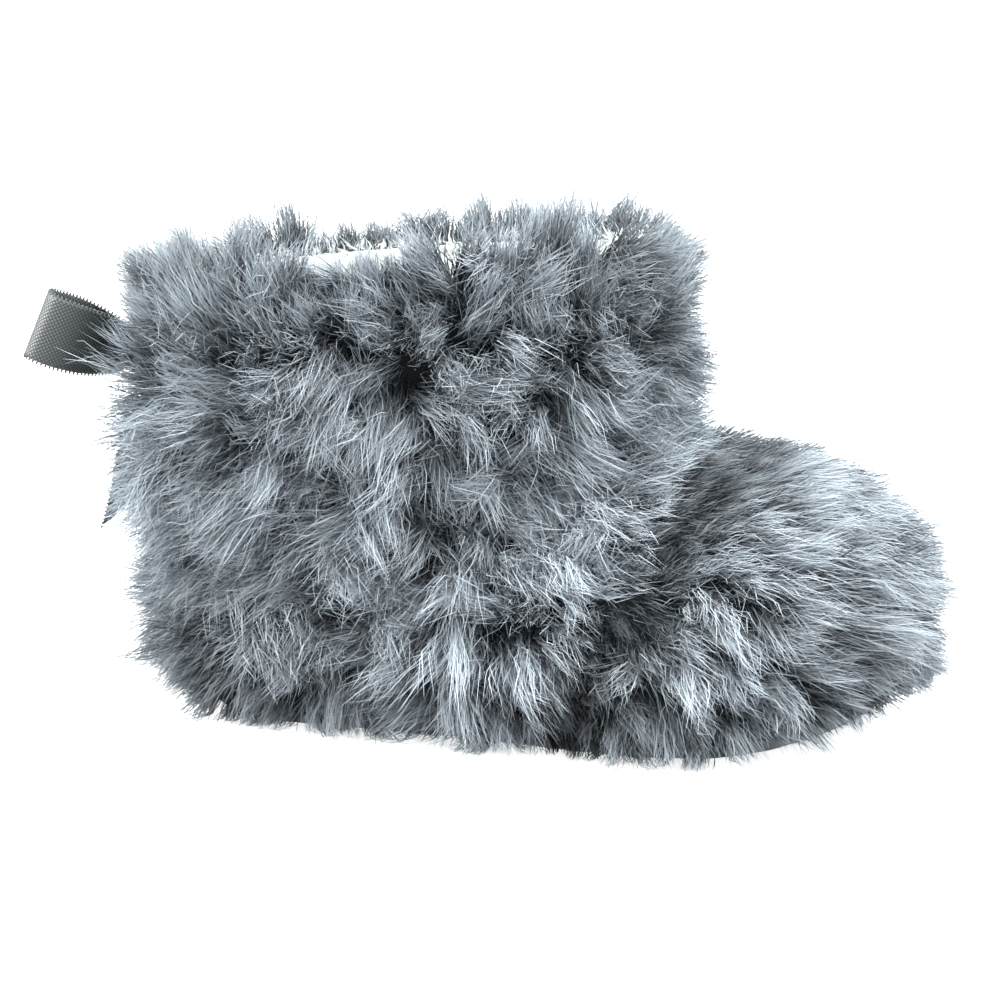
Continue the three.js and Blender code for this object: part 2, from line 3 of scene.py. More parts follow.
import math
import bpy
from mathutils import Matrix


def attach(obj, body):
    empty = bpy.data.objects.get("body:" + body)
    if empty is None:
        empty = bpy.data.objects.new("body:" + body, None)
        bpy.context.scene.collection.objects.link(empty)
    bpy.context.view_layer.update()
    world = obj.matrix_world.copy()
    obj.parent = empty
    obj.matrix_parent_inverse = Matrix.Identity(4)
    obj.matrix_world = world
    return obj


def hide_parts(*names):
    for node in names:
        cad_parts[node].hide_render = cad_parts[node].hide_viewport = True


bl_info = {
    "name": "Fur Bootie",
    "version": (1, 0, 0),
    "blender": (4, 5, 0),
    "location": "3D View > Sidebar > Bootie",
    "description": "Dresses a baby's bootie slipper in long fur, fleece, suede and a satin bow",
    "category": "Object",
}

import bmesh
import bpy
import numpy as np
from bpy.props import FloatProperty, FloatVectorProperty, IntProperty, PointerProperty
from mathutils import Matrix, Vector
from mathutils.bvhtree import BVHTree
from mathutils.kdtree import KDTree

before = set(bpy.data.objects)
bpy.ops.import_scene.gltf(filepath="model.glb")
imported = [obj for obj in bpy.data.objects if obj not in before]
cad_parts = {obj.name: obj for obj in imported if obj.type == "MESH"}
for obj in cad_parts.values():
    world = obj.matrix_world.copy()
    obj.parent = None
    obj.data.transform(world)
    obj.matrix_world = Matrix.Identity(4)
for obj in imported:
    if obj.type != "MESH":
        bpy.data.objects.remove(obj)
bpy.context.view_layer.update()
MM = 0.001

# Sizes repeated from the solids, in millimetres: the sole, the instep and the seat of the bow.
SOLE_LENGTH = 103
INSTEP_HEIGHT = 40
BOW_SEAT = (-59.7, 0.0, 50.5)
SOLE_TOP = 3.3
TOE_SPRING = 5.5
SHAFT_LENGTH = 71
COLLAR_HEIGHT = 63
COLLAR_RISE = 6

# The crease between the vamp's fur and the shaft's: shares of the sole's length ahead of its
# middle, and of the instep's height.
CREASE = [
    (0.05, -0.1),
    (0.075, 0.3),
    (0.155, 0.62),
    (0.21, 0.88),
    (0.25, 1.14),
    (0.33, 1.32),
    (0.6, 1.9),
]


def linear(hex_colour):
    """An sRGB hex colour as linear red, green and blue."""
    shares = [int(hex_colour[i : i + 2], 16) / 255 for i in (0, 2, 4)]
    return tuple(c / 12.92 if c <= 0.04045 else ((c + 0.055) / 1.055) ** 2.4 for c in shares)


def length(name, description, default):
    """A property that holds a length in metres."""
    return FloatProperty(
        name=name, description=description, default=default, min=0.0, precision=5, unit="LENGTH"
    )


def share(name, description, default):
    """A property that holds a share, which may pass 1."""
    return FloatProperty(name=name, description=description, default=default, min=0.0, max=2.0)


def colour(name, description, hex_colour):
    """A property that holds a colour."""
    return FloatVectorProperty(
        name=name, description=description, default=linear(hex_colour), subtype="COLOR", min=0, max=1
    )


class FurSettings(bpy.types.PropertyGroup):
    """Sizes and colours of the long pile. A real fibre is about 0.03 mm thick: the strands are drawn
    coarser, so that they show."""

    strands: IntProperty(name="Strands", description="Strands over the boot", default=222000)
    pile_length: length("Pile length", "Length of a strand from root to tip", 9.8 * MM)
    strand_width: length("Strand width", "Width of a strand at its root", 0.17 * MM)
    lock_spacing: length("Lock spacing", "Distance between the middles of two locks", 3.1 * MM)
    wisp_spacing: length("Wisp spacing", "Distance between the wisps in a lock", 1.2 * MM)
    swirl_spacing: length("Swirl spacing", "Distance over which the locks lie one way", 9.0 * MM)
    gather: share("Gather", "How far a lock's strands close up at its tip", 0.85)
    tousle: share("Tousle", "How far the locks lean out of the combed way", 0.62)
    stray: share("Stray", "Share of strands that stand free of their lock", 0.1)
    undercoat: share("Undercoat", "Share of strands that are short and fill the pile", 0.62)
    # The dark root colour is painted shade deep in the pile.
    root_shade_colour: colour("Root", "Colour at the roots", "2e353a")
    middle_colour: colour("Middle", "Colour half way up", "97a1a8")
    tip_colour: colour("Tip", "Colour at the tips", "bfc9d1")
    # The ground's dark colour is painted shade between the tufts.
    ground_shade_colour: colour("Ground", "Colour of the short under-pile", "23292d")


class FleeceSettings(bpy.types.PropertyGroup):
    """Sizes and colour of the lining and the insole."""

    lining_depth: length("Lining depth", "Thickness of the fleece inside the upper", 0.7 * MM)
    nap_length: length("Nap", "Length of the lining's fuzz", 1.3 * MM)
    nap_strands: IntProperty(name="Nap strands", description="Strands of fuzz", default=10000)
    fleece_colour: colour("Fleece", "Colour of the fleece", "ccd1cf")


class RibbonSettings(bpy.types.PropertyGroup):
    """Sizes and colour of the satin ribbon."""

    ribbon_width: length("Width", "Width of the ribbon", 10.0 * MM)
    ribbon_thickness: length("Thickness", "Thickness of the ribbon", 0.3 * MM)
    picot_spacing: length("Picot spacing", "Distance between two edge loops", 0.64 * MM)
    picot_width: length("Picot width", "Width of an edge loop", 0.36 * MM)
    picot_length: length("Picot length", "Length of an edge loop", 0.8 * MM)
    satin_colour: colour("Satin", "Colour of the ribbon", "565b5c")


class SoleSettings(bpy.types.PropertyGroup):
    """Sizes and colours of the sole and its seam."""

    stitch_spacing: length("Stitch spacing", "Distance between two stitches", 3.2 * MM)
    stitch_length: length("Stitch length", "Length of a stitch", 2.3 * MM)
    seam_inset: length("Seam inset", "Distance of the seam from the sole's edge", 2.6 * MM)
    suede_colour: colour("Suede", "Colour of the sole", "7b8287")
    thread_colour: colour("Thread", "Colour of the stitches", "555c61")


class StageSettings(bpy.types.PropertyGroup):
    """Camera, light and floor."""

    camera_azimuth: FloatProperty(
        name="Azimuth", description="Turn to the toe", default=math.radians(15), subtype="ANGLE"
    )
    camera_elevation: FloatProperty(
        name="Elevation", description="Climb", default=math.radians(12), subtype="ANGLE"
    )
    camera_roll: FloatProperty(
        name="Roll", description="Turn about the view", default=math.radians(0), subtype="ANGLE"
    )
    camera_distance: length("Distance", "Distance of the camera from the bootie", 0.4)
    floor_colour: colour("Floor", "Colour of the floor", "ffffff")


# Nodes, materials and meshes


def add_node(tree, kind, inputs=None, stops=None, **settings):
    """Adds a node with its settings. An input is a value, or a socket to link from. stops are the
    places and colours of a colour ramp."""
    node = tree.nodes.new(kind)
    for name, value in settings.items():
        setattr(node, name, value)
    for name, value in (inputs or {}).items():
        if isinstance(value, bpy.types.NodeSocket):
            tree.links.new(value, node.inputs[name])
        else:
            node.inputs[name].default_value = value
    for i, (place, rgb) in enumerate(stops or []):
        elements = node.color_ramp.elements
        element = elements[i] if i < len(elements) else elements.new(place)
        element.position = place
        element.color = (*rgb, 1.0)
    return node


def blank_material(name):
    """A material with an empty tree, its shader and its output, and the shader."""
    material = bpy.data.materials.new(name)
    material.use_nodes = True
    tree = material.node_tree
    tree.nodes.clear()
    shader = add_node(tree, "ShaderNodeBsdfPrincipled")
    add_node(tree, "ShaderNodeOutputMaterial", {"Surface": shader.outputs[0]})
    return material, tree, shader


def faux_fur_material(name, root, middle, tip, rough):
    """Modacrylic pile, knitted and combed: matt fibres, frosted at the tip, and dark at the root, which is
    painted shade deep in the pile.
    """
    material, tree, shader = blank_material(name)
    place = add_node(tree, "ShaderNodeUVMap", uv_map="OFBake")
    split = add_node(tree, "ShaderNodeSeparateXYZ", {"Vector": place.outputs["UV"]})
    # Painted shade: the colour is darkest at the root, deep in the pile, and lightens up to the tip.
    along = add_node(
        tree,
        "ShaderNodeValToRGB",
        {"Fac": split.outputs["Y"]},
        [(0.0, root), (0.3, root), (0.66, middle), (1.0, tip)],
    )
    tone = add_node(
        tree,
        "ShaderNodeMapRange",
        {"Value": split.outputs["X"], "To Min": 0.45, "To Max": 1.4},
    )
    made = add_node(
        tree,
        "ShaderNodeVectorMath",
        {"Vector": along.outputs["Color"], "Scale": tone.outputs["Result"]},
        operation="SCALE",
    )
    tree.links.new(made.outputs[0], shader.inputs["Base Color"])
    shader.inputs["Roughness"].default_value = rough
    shader.inputs["Specular IOR Level"].default_value = 0.2
    shader.inputs["Sheen Weight"].default_value = 0.15
    shader.inputs["Sheen Roughness"].default_value = 0.5
    return material


def napped_material(name, rgb, grain, depth, contrast, sheen):
    """Napped cloth: matt, with a fine grain in millimetres and slow patches of tone."""
    material, tree, shader = blank_material(name)
    place = add_node(tree, "ShaderNodeTexCoord")
    fine = add_node(
        tree,
        "ShaderNodeTexNoise",
        {"Vector": place.outputs["Object"], "Scale": 1 / (grain * MM), "Detail": 4.0, "Roughness": 0.7},
    )
    patches = add_node(
        tree,
        "ShaderNodeTexNoise",
        {"Vector": place.outputs["Object"], "Scale": 1 / (12 * MM), "Detail": 3.0},
    )
    both = add_node(
        tree,
        "ShaderNodeMath",
        {0: fine.outputs["Fac"], 1: patches.outputs["Fac"]},
        operation="ADD",
    )
    dark = tuple(c * (1 - contrast) for c in rgb)
    light = tuple(min(c * (1 + contrast), 1.0) for c in rgb)
    half = add_node(tree, "ShaderNodeMath", {0: both.outputs[0], 1: 0.5}, operation="MULTIPLY")
    shaded = add_node(
        tree, "ShaderNodeValToRGB", {"Fac": half.outputs[0]}, [(0.32, dark), (0.68, light)]
    )
    tree.links.new(shaded.outputs["Color"], shader.inputs["Base Color"])
    bump = add_node(
        tree,
        "ShaderNodeBump",
        {"Height": fine.outputs["Fac"], "Strength": 0.7, "Distance": depth * MM},
    )
    tree.links.new(bump.outputs["Normal"], shader.inputs["Normal"])
    shader.inputs["Roughness"].default_value = 0.95
    shader.inputs["Specular IOR Level"].default_value = 0.2
    shader.inputs["Sheen Weight"].default_value = sheen
    shader.inputs["Sheen Roughness"].default_value = 0.6
    return material


def satin_material(name, rgb):
    """Woven polyester ribbon: glossy threads in small dots, with a painted highlight where it bends and
    painted shade where the knot gathers it."""
    material, tree, shader = blank_material(name)
    place = add_node(tree, "ShaderNodeUVMap", uv_map="OFBake")
    split = add_node(tree, "ShaderNodeSeparateXYZ", {"Vector": place.outputs["UV"]})
    # The real weave has a thread every 0.2 mm, drawn here every 0.45 mm so that it shows. A wave's
    # period is 0.314 of the map over its scale, and the map holds 50 mm.
    threads = []
    for turn in (-45, 45):
        turned = add_node(
            tree,
            "ShaderNodeMapping",
            {"Vector": place.outputs["UV"], "Rotation": (0.0, 0.0, math.radians(turn))},
        )
        wave = add_node(
            tree,
            "ShaderNodeTexWave",
            {"Vector": turned.outputs[0], "Scale": 35.0, "Distortion": 0.3, "Detail": 1.0},
            bands_direction="X",
        )
        threads.append(wave.outputs["Fac"])
    dots = add_node(tree, "ShaderNodeMath", {0: threads[0], 1: threads[1]}, operation="MULTIPLY")
    shaded = add_node(
        tree,
        "ShaderNodeValToRGB",
        {"Fac": dots.outputs[0]},
        [(0.05, tuple(c * 0.45 for c in rgb)), (0.7, tuple(min(c * 1.5, 1) for c in rgb))],
    )
    # Along a loop the map runs from 0 at the knot through 0.42 at the bend to 0.84 at the knot.
    # Painted shade near the knot and a painted highlight at the bend, multiplied into the weave's colour.
    fold = add_node(
        tree,
        "ShaderNodeValToRGB",
        {"Fac": split.outputs["X"]},
        [
            (0.0, (0.2, 0.2, 0.2)),
            (0.24, (0.42, 0.42, 0.42)),
            (0.36, (1.0, 1.0, 1.0)),
            (0.54, (1.0, 1.0, 1.0)),
            (0.64, (0.25, 0.25, 0.25)),
            (1.0, (0.16, 0.16, 0.16)),
        ],
    )
    made = add_node(
        tree,
        "ShaderNodeMix",
        {"Factor": 1.0, 6: shaded.outputs["Color"], 7: fold.outputs["Color"]},
        data_type="RGBA",
        blend_type="MULTIPLY",
    )
    tree.links.new(made.outputs[2], shader.inputs["Base Color"])
    bump = add_node(
        tree,
        "ShaderNodeBump",
        {"Height": dots.outputs[0], "Strength": 0.6, "Distance": 0.08 * MM},
    )
    tree.links.new(bump.outputs["Normal"], shader.inputs["Normal"])
    shader.inputs["Roughness"].default_value = 0.42
    shader.inputs["Anisotropic"].default_value = 0.4
    shader.inputs["Specular IOR Level"].default_value = 0.5
    shader.inputs["Sheen Weight"].default_value = 0.1
    return material


def show(name, mesh, material):
    """Puts a mesh in the scene as a piece that rides on the shoe."""
    piece = bpy.data.objects.new(name, mesh)
    bpy.context.scene.collection.objects.link(piece)
    if material:
        mesh.materials.clear()
        mesh.materials.append(material)
    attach(piece, "root")
    return piece


def finished_mesh(mesh, name, steps):
    """A copy of a mesh with modifiers applied. Each step is a modifier's kind and its settings."""
    source = bpy.data.objects.new(name, mesh)
    bpy.context.scene.collection.objects.link(source)
    for kind, settings in steps:
        modifier = source.modifiers.new(kind, kind)
        for key, value in settings.items():
            setattr(modifier, key, value)
    graph = bpy.context.evaluated_depsgraph_get()
    made = bpy.data.meshes.new_from_object(source.evaluated_get(graph), depsgraph=graph)
    bpy.data.objects.remove(source)
    made.name = name
    made.shade_smooth()
    return made


def grown_mesh(mesh, name, tree, sizes):
    """The plain mesh that a geometry nodes tree makes from a mesh, with its named sizes set."""
    source = bpy.data.objects.new(name, mesh)
    bpy.context.scene.collection.objects.link(source)
    modifier = source.modifiers.new("Grow", "NODES")
    modifier.node_group = tree
    for item in tree.interface.items_tree:
        if item.item_type == "SOCKET" and item.in_out == "INPUT" and item.name in sizes:
            modifier[item.identifier] = sizes[item.name]
    graph = bpy.context.evaluated_depsgraph_get()
    made = bpy.data.meshes.new_from_object(source.evaluated_get(graph), depsgraph=graph)
    source.modifiers.remove(modifier)
    bpy.data.objects.remove(source)
    made.name = name
    return made


# The upper's own walls, which carry the fur and the lining


def merged(node):
    """A merged copy of a CAD node's mesh."""
    made = bmesh.new()
    made.from_mesh(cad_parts[node].data)
    bmesh.ops.remove_doubles(made, verts=made.verts, dist=1e-6)
    return made


def wall(*sides):
    """Some sides of the upper's wall as an open mesh: outer, inner, or the rim round the collar. The
    outer side lies close to the fur."""
    trees = []
    for node in ("fur_vamp", "fur_shaft"):
        fur = merged(node)
        trees.append(BVHTree.FromBMesh(fur))
        fur.free()
    upper = merged("upper")
    gone = []
    for face in upper.faces:
        centre = face.calc_center_median()
        gap = min(tree.find_nearest(centre)[3] for tree in trees)
        if abs(face.normal.z) > 0.8 and (centre.z > 55 * MM or centre.z < 12 * MM):
            side = "rim" if centre.z > 55 * MM else "under"
        elif gap < 0.65 * MM:
            side = "outer"
        else:
            side = "inner" if gap > 1.2 * MM else "under"
        if side not in sides:
            gone.append(face)
    bmesh.ops.delete(upper, geom=gone, context="FACES")
    mesh = bpy.data.meshes.new(f"{sides[0]} wall")
    upper.to_mesh(mesh)
    upper.free()
    return mesh


def arrays_of(mesh):
    """A mesh's points, triangles and smooth normals as arrays."""
    mesh.calc_loop_triangles()
    points = np.empty(len(mesh.vertices) * 3)
    mesh.vertices.foreach_get("co", points)
    triangles = np.empty(len(mesh.loop_triangles) * 3, np.int64)
    mesh.loop_triangles.foreach_get("vertices", triangles)
    points = points.reshape(-1, 3)
    triangles = triangles.reshape(-1, 3)
    a, b, c = (points[triangles[:, k]] for k in range(3))
    facing = np.cross(b - a, c - a)
    normals = np.zeros_like(points)
    for k in range(3):
        np.add.at(normals, triangles[:, k], facing)
    return points, triangles, unit(normals)


def unit(vectors):
    """Each row of an array at length 1."""
    return vectors / np.maximum(np.linalg.norm(vectors, axis=-1, keepdims=True), 1e-12)


def sown(mesh, count, rng, density=None):
    """Points scattered over a mesh, evenly or by a density worked out from a place, with their smooth
    normals, and the mesh's area."""
    points, triangles, normals = arrays_of(mesh)
    a, b, c = (points[triangles[:, k]] for k in range(3))
    area = np.linalg.norm(np.cross(b - a, c - a), axis=1)
    weight = area * (density((a + b + c) / 3) if density else 1)
    picked = triangles[rng.choice(len(triangles), count, p=weight / weight.sum())]
    u, v = np.sqrt(rng.random(count)), rng.random(count)
    shares = np.stack([1 - u, u * (1 - v), u * v], axis=1)
    place = (points[picked] * shares[..., None]).sum(axis=1)
    facing = unit((normals[picked] * shares[..., None]).sum(axis=1))
    return place, facing, area.sum() / 2


def nearest(places, centres):
    """For each place, the number of its nearest centre."""
    tree = KDTree(len(centres))
    for i, centre in enumerate(centres):
        tree.insert(centre, i)
    tree.balance()
    return np.array([tree.find(place)[1] for place in places])


def spread_centres(places, spacing, area, rng):
    """Centres spread evenly over the places, about a spacing apart, and each place's own centre."""
    count = max(int(area / spacing**2), 1)
    centres = places[rng.choice(len(places), count, replace=False)]
    for _ in range(3):
        own = nearest(places, centres)
        totals = np.zeros_like(centres)
        np.add.at(totals, own, places)
        held = np.bincount(own, minlength=count)[:, None]
        centres = np.where(held > 0, totals / np.maximum(held, 1), centres)
    own = nearest(places, centres)
    return centres, own


def crease_at(z):
    """How far ahead of the middle the crease lies at a height."""
    heights = [up * INSTEP_HEIGHT * MM for _, up in CREASE]
    ahead = [x * SOLE_LENGTH * MM for x, _ in CREASE]
    return np.interp(z, heights, ahead)


def base_at(x):
    """Height of the upper's lower edge, which climbs with the toe's spring."""
    toe = np.clip((x / MM / SOLE_LENGTH + 0.5 - 0.7) / 0.3, 0, 1)
    return (SOLE_TOP + TOE_SPRING * toe**2) * MM


def collar_at(x):
    """Height of the collar's edge."""
    along = np.clip((x / MM + SOLE_LENGTH / 2) / SHAFT_LENGTH, 0, 1)
    return (COLLAR_HEIGHT + COLLAR_RISE * along) * MM


def strand_mesh(name, batches):
    """Flat tapered strands in one mesh. A batch holds strands with one number of stops from the root
    to the tip: the stops, half widths, tones, and how far up the pile's colours each one comes."""
    corners, indices, starts, places = [], [], [], []
    vertex, loop = 0, 0
    for stops, half_widths, tones, reaches in batches:
        count, last = len(stops), stops.shape[1] - 1
        sides = [stops[:, :last] - half_widths, stops[:, :last] + half_widths]
        pairs = np.stack(sides, axis=2).reshape(count, 2 * last, 3)
        corners.append(np.concatenate([pairs, stops[:, last:]], axis=1).reshape(-1, 3))
        quads = [[2 * k, 2 * k + 1, 2 * k + 3, 2 * k + 2] for k in range(last - 1)]
        pattern = np.array(sum(quads, []) + [2 * last - 2, 2 * last - 1, 2 * last])
        own = np.arange(count)[:, None]
        indices.append((vertex + own * (2 * last + 1) + pattern).ravel())
        starts.append((loop + own * len(pattern) + np.arange(last) * 4).ravel())
        along = np.append(np.repeat(np.arange(last), 2), last) / last
        beside = np.append(np.tile([-1, 1], last), 0) * 0.002
        place = np.empty((count, len(pattern), 2))
        place[..., 0] = np.clip(tones, 0.01, 0.99)[:, None] + beside[pattern]
        place[..., 1] = 0.01 + 0.98 * along[pattern] * reaches[:, None]
        places.append(place.ravel())
        vertex += count * (2 * last + 1)
        loop += count * len(pattern)
    starts = np.concatenate(starts)
    mesh = bpy.data.meshes.new(name)
    mesh.vertices.add(vertex)
    mesh.vertices.foreach_set("co", np.concatenate(corners).ravel())
    mesh.loops.add(loop)
    mesh.loops.foreach_set("vertex_index", np.concatenate(indices))
    mesh.polygons.add(len(starts))
    mesh.polygons.foreach_set("loop_start", starts)
    mesh.update(calc_edges=True)
    layer = mesh.uv_layers.new(name="OFBake")
    layer.uv.foreach_set("vector", np.concatenate(places))
    mesh.shade_smooth()
    return mesh


def across_of(stops, facing, rng):
    """A way across each strand, which lies nearly flat to the surface below it."""
    forward = unit(stops[:, -1] - stops[:, 0])
    return unit(np.cross(forward, facing + rng.normal(size=forward.shape) * 0.35))


# Fur


def near(value, start, end):
    """0 at start and beyond it, 1 at end and beyond it."""
    return np.clip((value - start) / (end - start), 0, 1)


def density_at(place):
    """How thickly the pile grows: more at the collar, where it has to hide the rim."""
    return 1 + 0.7 * near(collar_at(place[:, 0]) - place[:, 2], 10 * MM, 3 * MM)


def upright_at(x):
    """How far the collar's fur stands up: less at the back and at the front, where it leans out."""
    return 1 - 0.6 * near(x, -40, -50) - 0.75 * near(x, 7, 16)


def comb_of(place, facing, swirl_way, tousle):
    """The way the fur is combed at each place, along the surface: away from the middle of each side,
    up at the collar, down at the hem but not at its ends, and away from the bow's knot."""
    x, z = place[:, 0] / MM, place[:, 2] / MM
    gap = (place[:, 0] - crease_at(place[:, 2])) / MM
    on_vamp = gap > 0
    above = (place[:, 2] - base_at(place[:, 0])) / MM
    comb = np.zeros_like(place)
    under_rim = (collar_at(place[:, 0]) - place[:, 2]) / MM
    standing = near(under_rim, 13, 3) * ~on_vamp * upright_at(x)
    shaft_ahead = 0.6 * np.clip((x + 3) / 30, -1, 1) + 0.5 * near(x, -6, 8)
    shaft_ahead *= 1 - 0.6 * standing
    shaft_ahead += 0.45 * near(gap, -9, -1) * near(x, 30, 18)
    vamp_ahead = 0.15 + 0.85 * near(x, 20, 40) + 0.9 * near(z, 20, 36)
    comb[:, 0] = np.where(on_vamp, vamp_ahead, shaft_ahead)
    shaft_down = 0.5 * np.clip((z - 46) / 28, -1, 0.3)
    shaft_down += standing * np.where(facing[:, 1] < 0.2, 1.2, 0.9)
    vamp_down = 0.55 * np.clip((z - 22) / 14, -1, 0.3) * (1 - 0.5 * near(x, 26, 42))
    comb[:, 2] = np.where(on_vamp, vamp_down, shaft_down) - 0.08
    comb[:, 2] += 0.5 * np.abs(facing[:, 0]) * near(above, 12, 2)
    comb[:, 2] -= 0.6 * np.abs(facing[:, 1]) * near(above, 8, 1) * near(x, 60, 38)
    from_knot = place - np.array(BOW_SEAT) * MM
    reach = np.linalg.norm(from_knot, axis=1)
    comb += unit(from_knot) * (near(reach, 18 * MM, 6 * MM) * 1.3)[:, None]
    calm = 1 - np.where(on_vamp, 0.4 + 0.4 * near(z, 22, 34), 0.4 * near(x, -6, 8))
    comb += swirl_way * (tousle * calm * (1 - 0.4 * standing))[:, None]
    comb -= facing * (comb * facing).sum(axis=1, keepdims=True)
    return comb


def pile_length_at(place):
    """The pile's length at each place as a share of the full one."""
    x, z = place[:, 0] / MM, place[:, 2] / MM
    gap = (place[:, 0] - crease_at(place[:, 2])) / MM
    on_vamp = gap > 0
    above = (place[:, 2] - base_at(place[:, 0])) / MM
    by_crease = 0.56 + 0.24 * near(z, 26, 36)
    top = 0.86 + 0.32 * near(x, 18, 32) * near(z, 16, 27)
    vamp = by_crease + (top - by_crease) * near(gap, 3, 11)
    vamp += 0.16 * near(x, 38, 52) * near(z, 26, 12) * near(z, 2, 10)
    shaft = 1 - 0.42 * near(gap, -8, -1) + 0.28 * near(x, -38, -50) * near(z, 52, 44)
    shaft += 0.06 * near(x, 9, 17) * near(z, 50, 57)
    shaft += 0.3 * near(x, -34, -46) * near(z, 32, 39) * near(z, 54, 47)
    made = np.where(on_vamp, vamp, shaft)
    hem = 0.6 + 0.18 * near(x, -14, -4) * near(x, 34, 24) - 0.12 * near(x, -34, -46)
    hem -= 0.17 * near(x, 20, 36)
    made = made * (hem + (1 - hem) * near(above, 1, 11))
    from_knot = np.linalg.norm(place - np.array(BOW_SEAT) * MM, axis=1)
    return made * (0.5 + 0.5 * near(from_knot, 6 * MM, 17 * MM))


def grown_fur(settings, rng):
    """All the strands of the pile: their stops, half widths, tones and reaches, their roots, and which
    ones are short."""
    place, facing, area = sown(wall("outer"), settings.strands, rng, density_at)
    count = len(place)
    x, z = place[:, 0] / MM, place[:, 2] / MM
    gap = (place[:, 0] - crease_at(place[:, 2])) / MM
    under_rim = (collar_at(place[:, 0]) - place[:, 2]) / MM
    near_side = facing[:, 1] < 0.2
    fan = near(under_rim, 9, 0.5) * (z > 50) * np.where(near_side, 1.0, 0.8) * upright_at(x)
    facing[:, 2] += fan * (0.9 + 0.6 * near(x, -10, 5))
    facing = unit(facing)
    swirls, _ = spread_centres(place, settings.swirl_spacing, area, rng)
    locks, in_lock = spread_centres(place, settings.lock_spacing, area, rng)
    wisps, in_wisp = spread_centres(place, settings.wisp_spacing, area, rng)
    lock_facing = np.zeros_like(locks)
    np.add.at(lock_facing, in_lock, facing)
    lock_facing = unit(lock_facing)
    swirl_way = rng.normal(size=swirls.shape)[nearest(locks, swirls)] * 0.7
    lock_way = rng.normal(size=locks.shape) * 0.5
    comb = comb_of(locks, lock_facing, swirl_way + lock_way, settings.tousle)
    lean = np.linalg.norm(comb, axis=1)
    most = 0.85 - 0.1 * near(lock_facing[:, 2], 0.25, 0.6)
    comb *= np.minimum(1.0, most / np.maximum(lean, 1e-9))[:, None]
    lean = np.minimum(lean, most)
    lock_length = 1 + 0.08 * rng.normal(size=len(locks)).clip(-1.5, 1.5)
    curl = rng.normal(size=locks.shape) * 0.24
    wisp_way = rng.normal(size=wisps.shape) * 0.14
    wisp_wave = rng.normal(size=wisps.shape) * 0.05

    chance = rng.random(count)
    stray = chance < settings.stray
    short = chance > 1 - settings.undercoat
    sleek = near(z, 22, 34) * (gap > 0)
    gather = settings.gather * (1 - 0.3 * rng.random(count) ** 2) * (1 - 0.8 * sleek)
    gather *= 1 - 0.45 * near(under_rim, 9, 1)
    gather = np.where(stray, 0.1, np.where(short, gather * 0.65, gather))
    own_length = 1 + (lock_length[in_lock] - 1) * (1 - 0.6 * near(under_rim, 9, 1))
    reach = settings.pile_length * pile_length_at(place) * own_length
    reach *= 1 - 0.3 * rng.random(count) ** 2
    lower_near = 0.36 * near(x, -33, -26) * near(x, -4, -12) + 0.2 * near(x, 8, 14)
    lower = np.where(near_side, lower_near, 0.2 * near(x, -50, -42))
    reach *= 1 - lower * near(under_rim, 9, 1)
    reach *= np.where(short, 0.78, 1.0)
    calm = (1 - 0.5 * sleek)[:, None]
    own_way = rng.normal(size=place.shape) * np.where(stray | short, 0.22, 0.09)[:, None]
    held_up = np.where(short, 0.7, 1.0)[:, None]
    way = comb[in_lock] * held_up + (wisp_way[in_wisp] + own_way) * calm
    wave = (wisp_wave[in_wisp] + rng.normal(size=place.shape) * 0.07) * calm
    up = unit(0.55 * lock_facing[in_lock] + 0.45 * facing)
    to_lock = wisps[in_wisp] - locks[in_lock]
    to_wisp = place - wisps[in_wisp]
    stops = np.empty((count, 4, 3))
    for k, t in enumerate((0.0, 0.38, 0.74, 1.0)):
        bend = 0.3 * t + 0.7 * t * t
        rise = t * (1 - 0.28 * t * lean[in_lock])
        closing = gather * t**1.3
        spine = up * (rise * reach)[:, None] + way * (bend * reach)[:, None]
        spine += curl[in_lock] * (t * t * reach * (1 - 0.7 * sleek))[:, None]
        spine += wave * (math.sin(2 * math.pi * t) * reach)[:, None]
        spine[:, 2] -= 0.08 * t * t * reach
        held = to_lock * (1 - closing * 0.88)[:, None]
        held = held + to_wisp * (1 - np.minimum(closing * 1.2, 1.0))[:, None]
        stops[:, k] = locks[in_lock] + spine + held
    stops[:, 0] = place
    over = np.minimum(1.0, (81 * MM - place[:, 2]) / np.maximum(stops[:, 3, 2] - place[:, 2], 1e-9))
    over = np.where(stops[:, 3, 2] > 81 * MM, over, 1.0)
    stops = place[:, None] + (stops - place[:, None]) * over[:, None, None]
    floor = (0.35 + 0.6 * rng.random(count)) * MM
    for k in range(1, 4):
        low = stops[:, k, 2] < floor
        stops[low, k, 2] = floor[low]
    across = across_of(stops, facing, rng)
    width = settings.strand_width * (0.7 + 0.6 * rng.random(count)) * np.where(stray, 0.6, 1.0)
    taper = np.array([1.0, 0.95, 0.75])
    half_widths = across[:, None] * (width[:, None] * taper)[..., None] / 2
    lock_tone = rng.normal(size=len(locks)) * 0.1
    # Painted shade in the crease between vamp and shaft: strands rooted there are darker and reach less far
    # up the pile's colours.
    crease_shade = near(gap, 11, 5) * near(gap, -1, 0) * near(z, 44, 35)
    # Tones differ at random by lock and by strand, plus painted light on the sleek top of the vamp.
    tones = 0.5 + lock_tone[in_lock] + rng.normal(size=count) * 0.08 + 0.1 * sleek
    # Painted light on the shaft's front just behind the crease, and the painted crease shade.
    tones += 0.2 * near(gap, -28, -10) * near(gap, 0, -1) - 0.3 * crease_shade
    # Painted light on the back of the shaft.
    tones += 0.16 * near(x, -22, -40) * near(z, 26, 34) * near(z, 60, 52)
    # Painted shade low on the foot by the hem, a little over the whole vamp and more at the toe.
    tones -= 0.36 * near(z, 21, 6) * near(x, 30, 16) + (gap > 0) * (0.02 + 0.14 * near(x, 34, 50))
    # Darker just under the collar's edge.
    tones -= 0.1 * near(under_rim, 13, 4)
    reaches = np.where(short, 0.78, 1.0) * (1 - 0.4 * crease_shade)
    return stops, half_widths, tones, reaches, place, short


